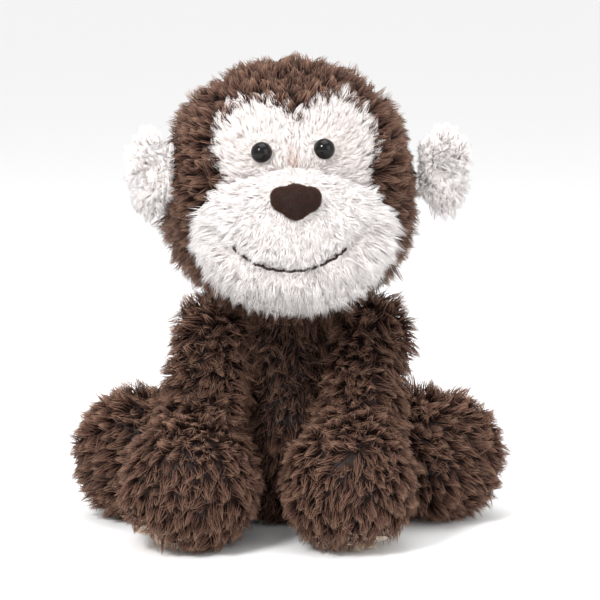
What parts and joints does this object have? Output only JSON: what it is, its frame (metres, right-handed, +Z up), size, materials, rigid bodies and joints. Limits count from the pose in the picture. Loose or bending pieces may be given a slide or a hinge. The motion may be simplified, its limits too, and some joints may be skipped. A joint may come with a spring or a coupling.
{
  "type": "stuffed monkey",
  "caption": "Seated stuffed monkey in long brown plush with a white face, muzzle and ears, soft jointed head, arms, legs, ears and tail.",
  "frame": {"origin": "centre of the flat seat, on the surface that the toy sits on", "axes": "+Z up, the face looks along -Y, +X to the viewer's right"},
  "size_m": [0.2226, 0.1922, 0.2367],
  "materials": {
    "brown_plush": "long-pile brown plush with lighter tips",
    "white_plush": "long-pile white plush",
    "cream_plush": "short cream plush",
    "polyester_fill": "loose polyester fibre filling",
    "pouch_cotton": "plain woven cotton",
    "nose_velour": "short brown velour",
    "mouth_thread": "dark embroidery thread",
    "eye_plastic": "polished black",
    "washer_plastic": "moulded white"
  },
  "bodies": {
    "torso": {"torso_front": "brown_plush", "torso_back_left": "brown_plush", "torso_back_right": "brown_plush", "seat_panel": "brown_plush", "torso_stuffing": "polyester_fill", "bean_pouch": "pouch_cotton", "neck_stuffing": "polyester_fill"},
    "neck": {"neck_band": "brown_plush"},
    "head": {"head_gusset": "brown_plush", "head_side_left": "brown_plush", "head_side_right": "brown_plush", "face_left": "white_plush", "face_right": "white_plush", "head_stuffing": "polyester_fill", "muzzle_upper": "white_plush", "chin": "white_plush", "muzzle_stuffing": "polyester_fill", "nose": "nose_velour", "mouth_stitch": "mouth_thread", "eye_left": "eye_plastic", "eye_right": "eye_plastic", "eye_washer_left": "washer_plastic", "eye_washer_right": "washer_plastic"},
    "ear_left": {"ear_left_front": "white_plush", "ear_left_back": "white_plush"},
    "ear_right": {"ear_right_front": "white_plush", "ear_right_back": "white_plush"},
    "shoulder_left": {"shoulder_seam_left": "brown_plush"},
    "arm_left": {"arm_left_front": "brown_plush", "arm_left_back": "brown_plush", "palm_pad_left": "cream_plush", "arm_left_stuffing": "polyester_fill"},
    "shoulder_right": {"shoulder_seam_right": "brown_plush"},
    "arm_right": {"arm_right_front": "brown_plush", "arm_right_back": "brown_plush", "palm_pad_right": "cream_plush", "arm_right_stuffing": "polyester_fill"},
    "leg_left": {"leg_left_front": "brown_plush", "leg_left_back": "brown_plush", "leg_left_stuffing": "polyester_fill"},
    "leg_right": {"leg_right_front": "brown_plush", "leg_right_back": "brown_plush", "leg_right_stuffing": "polyester_fill"},
    "tail": {"tail_skin": "brown_plush", "tail_stuffing": "polyester_fill"}
  },
  "joints": [
    {"name": "head_turn", "type": "hinge", "parent": "torso", "child": "neck", "pos_m": [0, 0, 0.108], "axis": [0, 0, 1], "range_deg": [-20, 20]},
    {"name": "head_nod", "type": "hinge", "parent": "neck", "child": "head", "pos_m": [0, 0, 0.108], "axis": [-1, 0, 0], "range_deg": [-8, 10]},
    {"name": "left_ear_fold", "type": "hinge", "parent": "head", "child": "ear_left", "pos_m": [-0.06562, -0.03442, 0.18043], "axis": [0, 0, 1], "range_deg": [-10, 20], "stiffness_Nm_per_rad": 0.005},
    {"name": "right_ear_fold", "type": "hinge", "parent": "head", "child": "ear_right", "pos_m": [0.06577, -0.01712, 0.18043], "axis": [0, 0, -1], "range_deg": [-10, 20], "stiffness_Nm_per_rad": 0.005},
    {"name": "left_arm_spread", "type": "hinge", "parent": "torso", "child": "shoulder_left", "pos_m": [-0.044, -0.008, 0.093], "axis": [0, 1, 0], "range_deg": [0, 12]},
    {"name": "left_arm_raise", "type": "hinge", "parent": "shoulder_left", "child": "arm_left", "pos_m": [-0.044, -0.008, 0.093], "axis": [-1, 0, 0], "range_deg": [0, 38]},
    {"name": "right_arm_spread", "type": "hinge", "parent": "torso", "child": "shoulder_right", "pos_m": [0.044, -0.008, 0.093], "axis": [0, -1, 0], "range_deg": [0, 12]},
    {"name": "right_arm_raise", "type": "hinge", "parent": "shoulder_right", "child": "arm_right", "pos_m": [0.044, -0.008, 0.093], "axis": [-1, 0, 0], "range_deg": [0, 38]},
    {"name": "left_leg_swing", "type": "hinge", "parent": "torso", "child": "leg_left", "pos_m": [-0.03, 0, 0.034], "axis": [0, 0, -1], "range_deg": [-3, 22]},
    {"name": "right_leg_swing", "type": "hinge", "parent": "torso", "child": "leg_right", "pos_m": [0.03, 0, 0.034], "axis": [0, 0, 1], "range_deg": [-3, 22]},
    {"name": "tail_swing", "type": "hinge", "parent": "torso", "child": "tail", "pos_m": [0, 0.042, 0.0096], "axis": [0, 0, 1], "range_deg": [-15, 15], "stiffness_Nm_per_rad": 0.01}
  ]
}
